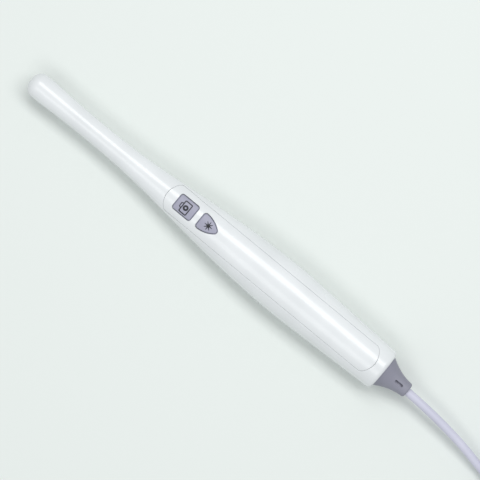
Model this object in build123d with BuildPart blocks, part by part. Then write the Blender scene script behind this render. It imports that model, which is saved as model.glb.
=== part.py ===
from build123d import *
import math
import os

# A hand-held intraoral camera: a slim moulded wand with a lens at its tip, two keys on its handle
# and a lead that ends in a flat plug. Millimetres. +X runs from the tip to the lead, +Z is up, on
# the side of the keys, and z = 0 is the table that the flattened belly rests on. The origin is
# under the middle of the wand. Distances along the wand are measured from its tip.

# Shell
SHELL_LENGTH = 200.0
HEAD_WIDTH = 11.5
WAIST_WIDTH = 10.14
BELLY_WIDTH = 23.7
TAIL_WIDTH = 19.9
HEIGHT_SHARE = 0.86
NOSE_RADIUS = 4.5
TAIL_RADIUS = 2.0
WALL = 1.8
FOOT_DEPTH = 0.3
SHELL_GAP = 0.06
LIP_HEIGHT = 0.8
LIP_CLEARANCE = 0.1

# Flat under the head, and the lens window in it
HEAD_FLAT = 4.0
HEAD_FLAT_END = 15.0
HEAD_RAMP_LENGTH = 9.0
HEAD_RAMP_DROP = 1.0
LENS_AT = 9.2
WINDOW_LENGTH = 10.0
WINDOW_WIDTH = 5.9
WINDOW_CORNER = 2.6
WINDOW_THICKNESS = 0.7
WINDOW_GAP = 0.05
WINDOW_LEDGE = 0.5
LEDGE_THICKNESS = 0.5
BAY_WIDTH = 7.0
BAY_FRONT = 3.2
BAY_REAR = 16.0
BAY_ABOVE_AXIS = 2.4
HOLD_DOWN_THICKNESS = 1.2
HOLD_DOWN_WIDTH = 5.0
HOLD_DOWN_GAP = 0.05

# Camera module behind the window
LED_BOARD_LENGTH = 11.6
LED_BOARD_WIDTH = 6.6
LED_BOARD_THICKNESS = 0.4
LED_LENGTH = 1.4
LED_WIDTH = 0.7
LED_HEIGHT = 0.45
LED_PITCH = 2.6
LED_ROW_SPACING = 3.6
BARREL_TIP_RADIUS = 1.3
BARREL_TIP_REACH = 0.45
BARREL_RADIUS = 2.2
BARREL_HEIGHT = 1.5
BARREL_CLEARANCE = 0.03
BARREL_HOLE_RADIUS = 1.5
FRONT_LENS_RADIUS = 1.0
REAR_LENS_RADIUS = 1.7
LENS_APERTURE = 0.8
LENS_CLEARANCE = 0.03
HOLDER_WIDTH = 6.0
HOLDER_HEIGHT = 2.6
SENSOR_WIDTH = 4.2
SENSOR_HEIGHT = 0.7
SENSOR_ROOM = 0.2
SENSOR_BOARD_WIDTH = 6.4
SENSOR_BOARD_THICKNESS = 0.5

# Long panel that closes the top of the handle
PANEL_FRONT = 77.5
PANEL_REAR_MARGIN = 5.5
PANEL_WIDTH = 13.6
PANEL_END_RADIUS = 8.9
PANEL_CORNER = 2.9
PANEL_THICKNESS = 1.0
PANEL_GAP = 0.12
PANEL_LEDGE = 1.0

# Keys
CAPTURE_AT = 87.75
CAPTURE_LENGTH = 10.3
CAPTURE_WIDTH = 8.4
CAPTURE_CORNER = 1.3
LIGHT_FRONT = 95.6
LIGHT_WIDTH = 8.3
LIGHT_APEX = 10.53
LIGHT_SHOULDER = 0.48
LIGHT_SHOULDER_RISE = 0.85
LIGHT_CORNER = 1.5
LIGHT_TIP_RADIUS = 1.57
LIGHT_SWITCH_AT = 99.6
KEY_GAP = 0.4
KEY_PROUD = 0.3
KEY_EDGE = 0.2
KEY_TRAVEL = 0.35
KEY_FLANGE = 0.5
KEY_FLANGE_THICKNESS = 0.8
KEY_FLANGE_GAP = 0.05
KEY_POST_RADIUS = 1.4

# Main board and what it carries
BOARD_FRONT = 80.0
BOARD_REAR_MARGIN = 16.0
BOARD_WIDTH = 15.0
BOARD_SHOULDER = 108.0
BOARD_CLEARANCE = 0.4
BOARD_THICKNESS = 1.0
BOARD_ABOVE_AXIS = 0.3
SWITCH_WIDTH = 5.2
SWITCH_HEIGHT = 2.9
STEM_RADIUS = 1.2
STEM_PROUD = 1.1
STEM_SEAT = 0.8
STEM_CLEARANCE = 0.06
SCREW_FRONT = 114.0
SCREW_REAR = 176.0
SCREW_SPREAD = 10.0
SCREW_RADIUS = 0.8
SCREW_LENGTH = 5.0
SCREW_HEAD_RADIUS = 1.5
SCREW_HEAD_HEIGHT = 1.1
SCREW_CLEARANCE = 0.03
BOSS_RADIUS = 2.0
RIB_THICKNESS = 1.0
PROCESSOR_AT = 134.0
PROCESSOR_WIDTH = 9.0
PROCESSOR_HEIGHT = 1.0
MEMORY_AT = 149.0
MEMORY_LENGTH = 8.0
MEMORY_WIDTH = 6.0
MEMORY_HEIGHT = 0.9
CRYSTAL_AT = 122.0
CRYSTAL_LENGTH = 3.2
CRYSTAL_WIDTH = 2.5
CRYSTAL_HEIGHT = 0.8
FLEX_WIDTH = 4.0
FLEX_THICKNESS = 0.2
FLEX_OVERLAP = 2.0
FLEX_CONNECTOR_LENGTH = 3.0
FLEX_CONNECTOR_WIDTH = 5.6
FLEX_CONNECTOR_HEIGHT = 1.2
HEADER_LENGTH = 4.2
HEADER_WIDTH = 7.5
HEADER_HEIGHT = 3.2
WIRE_PITCH = 1.25
WIRE_RADIUS = 0.35

# Lead, strain relief and crimp ring
LEAD_RADIUS = 1.9
LEAD_INSIDE = 12.5
RELIEF_REACH = 13.7
RELIEF_NOSE_RADIUS = 3.5
RELIEF_NOSE_EDGE = 0.9
RELIEF_RIM = 0.15
RELIEF_NECK_RADIUS = 4.5
RELIEF_NECK_CLEARANCE = 0.05
RELIEF_FLANGE_RADIUS = 6.2
RELIEF_FLANGE_THICKNESS = 2.2
RELIEF_BORE_CLEARANCE = 0.1
SLOT_LENGTH = 4.2
SLOT_WIDTH = 1.3
SLOT_AT = 8.4
CRIMP_LENGTH = 4.0
CRIMP_WALL = 0.8
CRIMP_CLEARANCE = 0.05
CRIMP_GAP = 0.3

# Hank of the lead in line with the shell, its two ties, and the plug in its middle
HANK_FRONT = 281.0
HANK_RUN = 70.0
HANK_INNER_TURN = 11.4
HANK_LAYERS = 5
TURNS_PER_LAYER = 2
HANK_Y = 5.7
TIE_THICKNESS = 0.4
TIE_GAP = 0.05
TIE_WIDTH = 6.0
PLUG_ASIDE = 1.2
PLUG_SETBACK = 38.4
PLUG_BODY_LENGTH = 20.0
PLUG_BODY_WIDTH = 15.0
PLUG_BODY_HEIGHT = 8.0
PLUG_BODY_EDGE = 2.2
PLUG_NECK_LENGTH = 6.0
PLUG_NECK_RADIUS = 2.9
PLUG_SHELL_REACH = 12.0
PLUG_SHELL_SEAT = 5.0
PLUG_SHELL_WIDTH = 12.0
PLUG_SHELL_HEIGHT = 4.5
PLUG_SHELL_WALL = 0.3
PLUG_WINDOW_LENGTH = 2.0
PLUG_WINDOW_WIDTH = 2.5
PLUG_WINDOW_SPREAD = 4.5
PLUG_WINDOW_AT = 5.2
PLUG_FIT = 0.02
TONGUE_THICKNESS = 1.9
TONGUE_SETBACK = 0.5
CONTACT_WIDTH = 1.1
CONTACT_THICKNESS = 0.2
CONTACT_LENGTH = 7.0
CONTACT_PITCH = 2.25

# Places that follow from these sizes
TIP_X = -(SHELL_LENGTH + RELIEF_REACH) / 2
AXIS_Z = BELLY_WIDTH * HEIGHT_SHARE / 2 - FOOT_DEPTH
FLARE = (BELLY_WIDTH - WAIST_WIDTH) / 2
BACK_TAPER = (BELLY_WIDTH - TAIL_WIDTH) / 2
WINDOW_Z = AXIS_Z - HEAD_FLAT
HEAD_FLOOR_Z = WINDOW_Z + WINDOW_THICKNESS + LEDGE_THICKNESS
HOLDER_Z = HEAD_FLOOR_Z + LED_BOARD_THICKNESS
SENSOR_BOARD_Z = HOLDER_Z + HOLDER_HEIGHT
SENSOR_BOARD_TOP = SENSOR_BOARD_Z + SENSOR_BOARD_THICKNESS
BOARD_TOP = AXIS_Z + BOARD_ABOVE_AXIS
BOARD_BOTTOM = BOARD_TOP - BOARD_THICKNESS
SWITCH_TOP = BOARD_TOP + SWITCH_HEIGHT
STEM_TOP = SWITCH_TOP + STEM_PROUD
PANEL_REAR = SHELL_LENGTH - PANEL_REAR_MARGIN
BOARD_REAR = SHELL_LENGTH - BOARD_REAR_MARGIN
LEAD_START = SHELL_LENGTH - LEAD_INSIDE
HEADER_AT = BOARD_REAR - 0.9 - HEADER_LENGTH / 2
HANK_REAR = HANK_FRONT + HANK_RUN
HANK_Z = TIE_THICKNESS + TIE_GAP
HANK_HEIGHT = HANK_LAYERS * 2 * LEAD_RADIUS
HANK_BAND = TURNS_PER_LAYER * 2 * LEAD_RADIUS
HANK_INSIDE = HANK_INNER_TURN - LEAD_RADIUS
HANK_OUTER_TURN = HANK_INSIDE + HANK_BAND - LEAD_RADIUS
PLUG_Y = HANK_Y + PLUG_ASIDE
PLUG_Z = PLUG_BODY_HEIGHT / 2

# Half-widths of the shell: each place as a share of its length, with the width there
OUTLINE = (
    (0.0225, HEAD_WIDTH / 2),
    (0.040, HEAD_WIDTH / 2 + 0.02),
    (0.090, HEAD_WIDTH / 2 - 0.40),
    (0.158, WAIST_WIDTH / 2),
    (0.263, WAIST_WIDTH / 2 + 0.040 * FLARE),
    (0.315, WAIST_WIDTH / 2 + 0.118 * FLARE),
    (0.420, WAIST_WIDTH / 2 + 0.412 * FLARE),
    (0.525, WAIST_WIDTH / 2 + 0.722 * FLARE),
    (0.630, WAIST_WIDTH / 2 + 0.930 * FLARE),
    (0.720, BELLY_WIDTH / 2),
    (0.814, BELLY_WIDTH / 2 - 0.29 * BACK_TAPER),
    (0.990, TAIL_WIDTH / 2),
)
BODY_SECTIONS = 20

os.makedirs("parts", exist_ok=True)


def along(distance):
    """The X of a place at this distance from the tip."""
    return TIP_X + distance


def slope_at(index):
    """The slope of the outline at one of its places, weighted by the spans beside it."""
    if index == 0:
        return 0.0
    if index == len(OUTLINE) - 1:
        index -= 1
        (a, wide_a), (b, wide_b) = OUTLINE[index], OUTLINE[index + 1]
        return (wide_b - wide_a) / (b - a)
    (a, wide_a), (b, wide_b), (c, wide_c) = OUTLINE[index - 1 : index + 2]
    before, after = (wide_b - wide_a) / (b - a), (wide_c - wide_b) / (c - b)
    return (before * (c - b) + after * (b - a)) / (c - a)


def half_width(distance):
    """Half the shell's width at this distance from the tip: cubic pieces between the outline's places."""
    share = distance / SHELL_LENGTH
    index = sum(1 for place, _ in OUTLINE[1:-1] if place <= share)
    (a, wide_a), (b, wide_b) = OUTLINE[index], OUTLINE[index + 1]
    span = b - a
    t = (share - a) / span
    rise = 3 * t**2 - 2 * t**3
    return (
        (1 - rise) * wide_a
        + rise * wide_b
        + (t**3 - 2 * t**2 + t) * span * slope_at(index)
        + (t**3 - t**2) * span * slope_at(index + 1)
    )


def shell_sections(inset):
    """Pairs of distance and half-width that a form of the shell runs through, moved in by inset."""
    sections = []
    nose = NOSE_RADIUS - inset
    blunt = half_width(NOSE_RADIUS) - NOSE_RADIUS
    for angle in range(0, 90, 15):
        turn = math.radians(angle)
        sections.append((NOSE_RADIUS - nose * math.cos(turn), blunt + nose * math.sin(turn)))
    tail_start = SHELL_LENGTH - TAIL_RADIUS
    for step in range(BODY_SECTIONS + 1):
        distance = NOSE_RADIUS + (tail_start - NOSE_RADIUS) * step / BODY_SECTIONS
        sections.append((distance, half_width(distance) - inset))
    tail = TAIL_RADIUS - inset
    for angle in (30, 60, 90):
        turn = math.radians(angle)
        drop = tail * (1 - math.cos(turn))
        sections.append((tail_start + tail * math.sin(turn), half_width(tail_start) - inset - drop))
    return sections


def shell_form(inset=0.0, drop=0.0):
    """The solid form of the shell, moved in by inset all round and down by drop.

    Each section is an ellipse in two halves, so that no face of the form closes on itself."""
    middle = (0, AXIS_Z - drop)
    with BuildPart() as form:
        for distance, half in shell_sections(inset):
            high = half * HEIGHT_SHARE
            with BuildSketch(Plane.YZ.offset(along(distance))):
                with BuildLine():
                    EllipticalCenterArc(middle, half, high, start_angle=0, arc_size=180)
                    EllipticalCenterArc(middle, half, high, start_angle=180, arc_size=180)
                make_face()
        loft()
    return form.part


def panel_outline(grow):
    """The long panel's outline from above: straight sides and shallow round ends."""
    half = PANEL_WIDTH / 2
    bulge = PANEL_END_RADIUS - math.sqrt(PANEL_END_RADIUS**2 - half**2)
    front, rear = along(PANEL_FRONT), along(PANEL_REAR)
    with BuildSketch() as outline:
        with BuildLine():
            Line((front + bulge, half), (rear - bulge, half))
            ThreePointArc((rear - bulge, half), (rear, 0), (rear - bulge, -half))
            Line((rear - bulge, -half), (front + bulge, -half))
            ThreePointArc((front + bulge, -half), (front, 0), (front + bulge, half))
        make_face()
        fillet(outline.vertices(), radius=PANEL_CORNER)
        if grow:
            offset(amount=grow)
    return outline.sketch


def capture_outline(grow):
    """The capture key's hole from above, a rounded rectangle, grown by this much."""
    with BuildSketch() as outline:
        with Locations((along(CAPTURE_AT), 0)):
            RectangleRounded(
                CAPTURE_LENGTH + 2 * grow, CAPTURE_WIDTH + 2 * grow, CAPTURE_CORNER + grow
            )
    return outline.sketch


def light_outline(grow):
    """The light key's hole from above: a flat front, and two bowed sides that meet at the rear."""
    front, half = along(LIGHT_FRONT), LIGHT_WIDTH / 2
    shoulder = front + LIGHT_SHOULDER * LIGHT_APEX
    with BuildSketch() as outline:
        with BuildLine():
            Line((front, -half), (front, half))
            ThreePointArc(
                (front, half), (shoulder, LIGHT_SHOULDER_RISE * half), (front + LIGHT_APEX, 0)
            )
            ThreePointArc(
                (front + LIGHT_APEX, 0), (shoulder, -LIGHT_SHOULDER_RISE * half), (front, -half)
            )
        make_face()
        fillet(outline.vertices().group_by(Axis.X)[0], radius=LIGHT_CORNER)
        fillet(outline.vertices().sort_by(Axis.X)[-1], radius=LIGHT_TIP_RADIUS)
        if grow:
            offset(amount=grow)
    return outline.sketch


def window_outline(grow):
    """The lens window's outline from below, a rounded rectangle, grown by this much."""
    with BuildSketch() as outline:
        with Locations((along(LENS_AT), 0)):
            RectangleRounded(
                WINDOW_LENGTH + 2 * grow, WINDOW_WIDTH + 2 * grow, WINDOW_CORNER + grow
            )
    return outline.sketch


def export(name, built):
    """Labels a finished piece and writes it as a STEP file."""
    built.part.label = name
    export_step(built.part, f"parts/{name}.step")


# Forms that the moulded pieces share
outer_form = shell_form()
cavity_form = shell_form(WALL)
lip_form = shell_form((WALL + LIP_CLEARANCE) / 2)
groove_form = shell_form((WALL - LIP_CLEARANCE) / 2)
panel_under_form = shell_form(0, PANEL_THICKNESS)
flange_top_form = shell_form(0, PANEL_THICKNESS + KEY_FLANGE_GAP)
flange_under_form = shell_form(0, PANEL_THICKNESS + KEY_FLANGE_GAP + KEY_FLANGE_THICKNESS)
key_top_form = shell_form(-KEY_PROUD)

# Room in the head for the camera module
with BuildPart() as module_bay:
    with BuildSketch(Plane.XY.offset(HEAD_FLOOR_Z)):
        with Locations((along((BAY_FRONT + BAY_REAR) / 2), 0)):
            RectangleRounded(BAY_REAR - BAY_FRONT, BAY_WIDTH, 1.0)
    extrude(amount=AXIS_Z + BAY_ABOVE_AXIS - HEAD_FLOOR_Z)

# Room in the rear wall for the strain relief's neck
with BuildPart() as relief_hole:
    with BuildSketch(Plane.YZ.offset(along(SHELL_LENGTH + 1))):
        with Locations((0, AXIS_Z)):
            Circle(RELIEF_NECK_RADIUS + RELIEF_NECK_CLEARANCE)
    extrude(amount=-(WALL + 4))

# Seat of the long panel: its outline down to the panel's underside
with BuildPart() as panel_seat:
    with BuildSketch(Plane.XY.offset(AXIS_Z + 2 * LIP_HEIGHT)):
        add(panel_outline(PANEL_GAP))
    extrude(amount=BELLY_WIDTH)
    add(panel_under_form, mode=Mode.SUBTRACT)

# Rib in the head that holds the camera module down
with BuildPart() as hold_down:
    with BuildSketch(Plane.XY.offset(SENSOR_BOARD_TOP + HOLD_DOWN_GAP)):
        with Locations((along(LENS_AT - 1.2), 0)):
            Rectangle(HOLD_DOWN_THICKNESS, HOLD_DOWN_WIDTH)
    extrude(amount=HEAD_WIDTH)
    add(lip_form, mode=Mode.INTERSECT)

# Upper half of the shell, with the groove that takes the lower half's lip
with BuildPart() as groove:
    add(groove_form)
    split(bisect_by=Plane.XY.offset(AXIS_Z + LIP_HEIGHT + LIP_CLEARANCE), keep=Keep.BOTTOM)

with BuildPart() as upper_shell:
    add(outer_form)
    split(bisect_by=Plane.XY.offset(AXIS_Z + SHELL_GAP / 2), keep=Keep.TOP)
    add(groove.part, mode=Mode.SUBTRACT)
    add(cavity_form, mode=Mode.SUBTRACT)
    add(module_bay.part, mode=Mode.SUBTRACT)
    add(panel_seat.part, mode=Mode.SUBTRACT)
    with BuildSketch(Plane.XY.offset(AXIS_Z + 2 * LIP_HEIGHT)):
        add(panel_outline(-PANEL_LEDGE))
    extrude(amount=BELLY_WIDTH, mode=Mode.SUBTRACT)
    add(relief_hole.part, mode=Mode.SUBTRACT)
    add(hold_down.part)
export("upper_shell", upper_shell)

# Bosses and ribs that carry the main board, trimmed to the inside of the lower shell's wall
with BuildPart() as board_supports:
    with BuildSketch(Plane.XY):
        for distance in (SCREW_FRONT, SCREW_REAR):
            with Locations((along(distance), 0)):
                with GridLocations(0, SCREW_SPREAD, 1, 2):
                    Circle(BOSS_RADIUS)
        for distance in (CAPTURE_AT - 4, CAPTURE_AT + 5.5, LIGHT_SWITCH_AT + 5):
            with Locations((along(distance), 0)):
                Rectangle(RIB_THICKNESS, BELLY_WIDTH)
    extrude(amount=BOARD_BOTTOM)
    add(lip_form, mode=Mode.INTERSECT)

# Rib behind the crimp ring, with a notch for the lead
with BuildPart() as lead_rib:
    with BuildSketch(Plane.YZ.offset(along(LEAD_START + 1.5))):
        with Locations((0, (AXIS_Z - 0.2) / 2)):
            Rectangle(BELLY_WIDTH, AXIS_Z - 0.2)
        with Locations((0, AXIS_Z)):
            Circle(LEAD_RADIUS + RELIEF_BORE_CLEARANCE, mode=Mode.SUBTRACT)
    extrude(amount=RIB_THICKNESS)
    add(lip_form, mode=Mode.INTERSECT)

# Thick floor of the head, which the window and the light board seat on
with BuildPart() as head_floor:
    with BuildSketch(Plane.XY):
        with Locations((along((BAY_FRONT + BAY_REAR) / 2), 0)):
            Rectangle(BAY_REAR - BAY_FRONT + 1.5, HEAD_WIDTH)
    extrude(amount=HEAD_FLOOR_Z)
    add(lip_form, mode=Mode.INTERSECT)

with BuildPart() as lip:
    add(lip_form)
    split(bisect_by=Plane.XY.offset(AXIS_Z + LIP_HEIGHT), keep=Keep.BOTTOM)
    split(bisect_by=Plane.XY.offset(AXIS_Z - LIP_HEIGHT), keep=Keep.TOP)

# Lower half of the shell
with BuildPart() as lower_shell:
    add(outer_form)
    split(bisect_by=Plane.XY.offset(AXIS_Z - SHELL_GAP / 2), keep=Keep.BOTTOM)
    add(lip.part)
    add(cavity_form, mode=Mode.SUBTRACT)
    add(head_floor.part)
    add(board_supports.part)
    add(lead_rib.part)
    add(module_bay.part, mode=Mode.SUBTRACT)
    add(relief_hole.part, mode=Mode.SUBTRACT)
    with BuildSketch(Plane.XY):
        Rectangle(SHELL_LENGTH, BELLY_WIDTH)
    extrude(amount=-BELLY_WIDTH, mode=Mode.SUBTRACT)
    with BuildSketch(Plane.XZ) as flat:
        with BuildLine():
            Polyline(
                (along(-1), WINDOW_Z),
                (along(HEAD_FLAT_END), WINDOW_Z),
                (along(HEAD_FLAT_END + HEAD_RAMP_LENGTH), WINDOW_Z - HEAD_RAMP_DROP),
                (along(HEAD_FLAT_END + HEAD_RAMP_LENGTH), 0),
                (along(-1), 0),
                close=True,
            )
        make_face()
    extrude(amount=HEAD_WIDTH, both=True, mode=Mode.SUBTRACT)
    with BuildSketch(Plane.XY.offset(WINDOW_Z)):
        add(window_outline(WINDOW_GAP))
    extrude(amount=WINDOW_THICKNESS, mode=Mode.SUBTRACT)
    with BuildSketch(Plane.XY.offset(WINDOW_Z)):
        add(window_outline(-WINDOW_LEDGE))
    extrude(amount=HEAD_FLAT, mode=Mode.SUBTRACT)
    with BuildSketch(Plane.XY.offset(BOARD_BOTTOM)):
        for distance in (SCREW_FRONT, SCREW_REAR):
            with Locations((along(distance), 0)):
                with GridLocations(0, SCREW_SPREAD, 1, 2):
                    Circle(SCREW_RADIUS + SCREW_CLEARANCE)
    extrude(amount=-SCREW_LENGTH, mode=Mode.SUBTRACT)
export("lower_shell", lower_shell)

# Long panel, flush with the shell, with the two holes for the keys
with BuildPart() as top_panel:
    with BuildSketch(Plane.XY.offset(AXIS_Z + 2 * LIP_HEIGHT)):
        add(panel_outline(0))
    extrude(amount=BELLY_WIDTH)
    add(outer_form, mode=Mode.INTERSECT)
    add(panel_under_form, mode=Mode.SUBTRACT)
    with BuildSketch(Plane.XY.offset(AXIS_Z + 2 * LIP_HEIGHT)):
        add(capture_outline(0))
        add(light_outline(0))
    extrude(amount=BELLY_WIDTH, mode=Mode.SUBTRACT)
export("top_panel", top_panel)


def key(outline, post_at):
    """A key: its cap, the flange that holds it under the panel, and the post over its switch."""
    with BuildPart() as cap:
        with BuildSketch(Plane.XY.offset(STEM_TOP)):
            add(outline(-KEY_GAP))
        extrude(amount=BELLY_WIDTH)
        add(key_top_form, mode=Mode.INTERSECT)
        add(flange_under_form, mode=Mode.SUBTRACT)
        fillet(cap.faces().sort_by(Axis.Z)[-1].edges(), radius=KEY_EDGE)
    with BuildPart() as flange:
        with BuildSketch(Plane.XY.offset(AXIS_Z)):
            add(outline(KEY_FLANGE))
        extrude(amount=BELLY_WIDTH)
        add(flange_top_form, mode=Mode.INTERSECT)
        add(flange_under_form, mode=Mode.SUBTRACT)
    with BuildPart() as whole:
        add(cap.part)
        add(flange.part)
        with BuildSketch(Plane.XY.offset(STEM_TOP)):
            with Locations((along(post_at), 0)):
                Circle(KEY_POST_RADIUS)
        extrude(until=Until.NEXT)
    return whole


capture_button = key(capture_outline, CAPTURE_AT)
export("capture_button", capture_button)
light_button = key(light_outline, LIGHT_SWITCH_AT)
export("light_button", light_button)

# Tact switches on the board, and the stems that the keys press into them
for name, place in (("capture_switch", CAPTURE_AT), ("light_switch", LIGHT_SWITCH_AT)):
    with BuildPart() as switch:
        with BuildSketch(Plane.XY.offset(BOARD_TOP)):
            with Locations((along(place), 0)):
                Rectangle(SWITCH_WIDTH, SWITCH_WIDTH)
        extrude(amount=SWITCH_HEIGHT)
        chamfer(switch.edges().filter_by(Axis.Z), length=0.5)
        with BuildSketch(Plane.XY.offset(SWITCH_TOP)):
            with Locations((along(place), 0)):
                Circle(STEM_RADIUS + STEM_CLEARANCE)
        extrude(amount=-(STEM_SEAT + KEY_TRAVEL + 0.15), mode=Mode.SUBTRACT)
    export(name, switch)
    with BuildPart() as stem:
        with BuildSketch(Plane.XY.offset(SWITCH_TOP - STEM_SEAT)):
            with Locations((along(place), 0)):
                Circle(STEM_RADIUS)
        extrude(amount=STEM_SEAT + STEM_PROUD)
    export(f"{name}_stem", stem)

# Main board, narrower where the handle tapers
with BuildPart() as main_board:
    front_half = half_width(BOARD_FRONT) - WALL - BOARD_CLEARANCE
    with BuildSketch(Plane.XY.offset(BOARD_BOTTOM)) as board_plan:
        with BuildLine():
            Polyline(
                (along(BOARD_FRONT), front_half),
                (along(BOARD_SHOULDER), BOARD_WIDTH / 2),
                (along(BOARD_REAR), BOARD_WIDTH / 2),
                (along(BOARD_REAR), -BOARD_WIDTH / 2),
                (along(BOARD_SHOULDER), -BOARD_WIDTH / 2),
                (along(BOARD_FRONT), -front_half),
                close=True,
            )
        make_face()
        for distance in (SCREW_FRONT, SCREW_REAR):
            with Locations((along(distance), 0)):
                with GridLocations(0, SCREW_SPREAD, 1, 2):
                    Circle(SCREW_RADIUS + 4 * SCREW_CLEARANCE, mode=Mode.SUBTRACT)
    extrude(amount=BOARD_THICKNESS)
export("main_board", main_board)

# Four pan-head screws that hold the board to its bosses
with BuildPart() as board_screws:
    with BuildSketch(Plane.XY.offset(BOARD_TOP)):
        for distance in (SCREW_FRONT, SCREW_REAR):
            with Locations((along(distance), 0)):
                with GridLocations(0, SCREW_SPREAD, 1, 2):
                    Circle(SCREW_RADIUS)
    extrude(amount=-(SCREW_LENGTH - 0.3))
    with BuildSketch(Plane.XY.offset(BOARD_TOP)):
        for distance in (SCREW_FRONT, SCREW_REAR):
            with Locations((along(distance), 0)):
                with GridLocations(0, SCREW_SPREAD, 1, 2):
                    Circle(SCREW_HEAD_RADIUS)
    extrude(amount=SCREW_HEAD_HEIGHT)
export("board_screws", board_screws)

# Parts soldered to the top of the board
for name, place, long, wide, high in (
    ("processor_chip", PROCESSOR_AT, PROCESSOR_WIDTH, PROCESSOR_WIDTH, PROCESSOR_HEIGHT),
    ("memory_chip", MEMORY_AT, MEMORY_LENGTH, MEMORY_WIDTH, MEMORY_HEIGHT),
    ("crystal", CRYSTAL_AT, CRYSTAL_LENGTH, CRYSTAL_WIDTH, CRYSTAL_HEIGHT),
):
    with BuildPart() as chip:
        with BuildSketch(Plane.XY.offset(BOARD_TOP)):
            with Locations((along(place), 0)):
                Rectangle(long, wide)
        extrude(amount=high)
        chamfer(chip.faces().sort_by(Axis.Z)[-1].edges(), length=0.15)
    export(name, chip)

# Socket for the head's flexible circuit: open towards the head
flex_z = SENSOR_BOARD_TOP
with BuildPart() as flex_connector:
    with BuildSketch(Plane.XZ) as socket:
        with Locations((along(BOARD_FRONT + 0.6 + FLEX_CONNECTOR_LENGTH / 2), BOARD_TOP)):
            Rectangle(
                FLEX_CONNECTOR_LENGTH, FLEX_CONNECTOR_HEIGHT, align=(Align.CENTER, Align.MIN)
            )
    extrude(amount=FLEX_CONNECTOR_WIDTH / 2, both=True)
    with BuildSketch(Plane.XY.offset(flex_z)):
        with Locations((along(BOARD_FRONT + 0.6 + FLEX_OVERLAP / 2), 0)):
            Rectangle(FLEX_OVERLAP, FLEX_WIDTH + 0.1)
    extrude(amount=FLEX_THICKNESS, mode=Mode.SUBTRACT)
export("flex_connector", flex_connector)

# Flexible circuit from the sensor board down the neck to its socket
with BuildPart() as head_flex:
    flex_front = LENS_AT + SENSOR_BOARD_WIDTH / 2 - FLEX_OVERLAP
    flex_rear = BOARD_FRONT + 0.6 + FLEX_OVERLAP
    with BuildSketch(Plane.XZ) as strip:
        with Locations((along((flex_front + flex_rear) / 2), flex_z)):
            Rectangle(flex_rear - flex_front, FLEX_THICKNESS, align=(Align.CENTER, Align.MIN))
    extrude(amount=FLEX_WIDTH / 2, both=True)
export("head_flex", head_flex)

# Header for the lead's wires
with BuildPart() as cable_connector:
    with BuildSketch(Plane.XY.offset(BOARD_TOP)):
        with Locations((along(HEADER_AT), 0)):
            Rectangle(HEADER_LENGTH, HEADER_WIDTH)
    extrude(amount=HEADER_HEIGHT)
    chamfer(cable_connector.faces().sort_by(Axis.Z)[-1].edges(), length=0.3)
export("cable_connector", cable_connector)

# Lens window, flat and flush with the flat under the head
with BuildPart() as lens_window:
    with BuildSketch(Plane.XY.offset(WINDOW_Z)):
        add(window_outline(0))
    extrude(amount=WINDOW_THICKNESS)
export("lens_window", lens_window)

# Light board, a ring round the lens with six light-emitting diodes under it
with BuildPart() as led_board:
    with BuildSketch(Plane.XY.offset(HEAD_FLOOR_Z)):
        with Locations((along(LENS_AT), 0)):
            RectangleRounded(LED_BOARD_LENGTH, LED_BOARD_WIDTH, 0.8)
            Circle(BARREL_HOLE_RADIUS, mode=Mode.SUBTRACT)
    extrude(amount=LED_BOARD_THICKNESS)
export("led_board", led_board)

with BuildPart() as leds:
    with BuildSketch(Plane.XY.offset(HEAD_FLOOR_Z)):
        with Locations((along(LENS_AT), 0)):
            with GridLocations(LED_PITCH, LED_ROW_SPACING, 3, 2):
                Rectangle(LED_LENGTH, LED_WIDTH)
    extrude(amount=-LED_HEIGHT)
export("leds", leds)

# Lens barrel: a narrow tip through the light board and a wider body that stands on it
barrel_axis = Axis((along(LENS_AT), 0, 0), (0, 0, 1))
tip_z = HEAD_FLOOR_Z - BARREL_TIP_REACH
front_seat = tip_z + 0.45
rear_seat = HOLDER_Z + 0.5
with BuildPart() as lens_barrel:
    with BuildSketch(Plane.XZ) as half_section:
        with BuildLine():
            Polyline(
                (along(LENS_AT) + FRONT_LENS_RADIUS + LENS_CLEARANCE, tip_z),
                (along(LENS_AT) + BARREL_TIP_RADIUS, tip_z),
                (along(LENS_AT) + BARREL_TIP_RADIUS, HOLDER_Z),
                (along(LENS_AT) + BARREL_RADIUS, HOLDER_Z),
                (along(LENS_AT) + BARREL_RADIUS, HOLDER_Z + BARREL_HEIGHT),
                (along(LENS_AT) + REAR_LENS_RADIUS + LENS_CLEARANCE, HOLDER_Z + BARREL_HEIGHT),
                (along(LENS_AT) + REAR_LENS_RADIUS + LENS_CLEARANCE, rear_seat),
                (along(LENS_AT) + LENS_APERTURE, rear_seat),
                (along(LENS_AT) + LENS_APERTURE, front_seat),
                (along(LENS_AT) + FRONT_LENS_RADIUS + LENS_CLEARANCE, front_seat),
                close=True,
            )
        make_face()
    revolve(axis=barrel_axis)
export("lens_barrel", lens_barrel)

# Two domed lenses on the barrel's seats, with their round faces away from each other
for name, radius, seat, edge, crown in (
    ("front_lens", FRONT_LENS_RADIUS, front_seat, -0.2, -0.38),
    ("rear_lens", REAR_LENS_RADIUS, rear_seat, 0.4, 0.75),
):
    dome = crown - edge
    ball = (radius**2 + dome**2) / (2 * abs(dome))
    with BuildPart() as lens:
        with BuildSketch(Plane.XY.offset(seat)):
            with Locations((along(LENS_AT), 0)):
                Circle(radius)
        extrude(amount=crown)
        with Locations((along(LENS_AT), 0, seat + crown - math.copysign(ball, dome))):
            Sphere(ball, mode=Mode.INTERSECT)
    export(name, lens)

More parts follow.
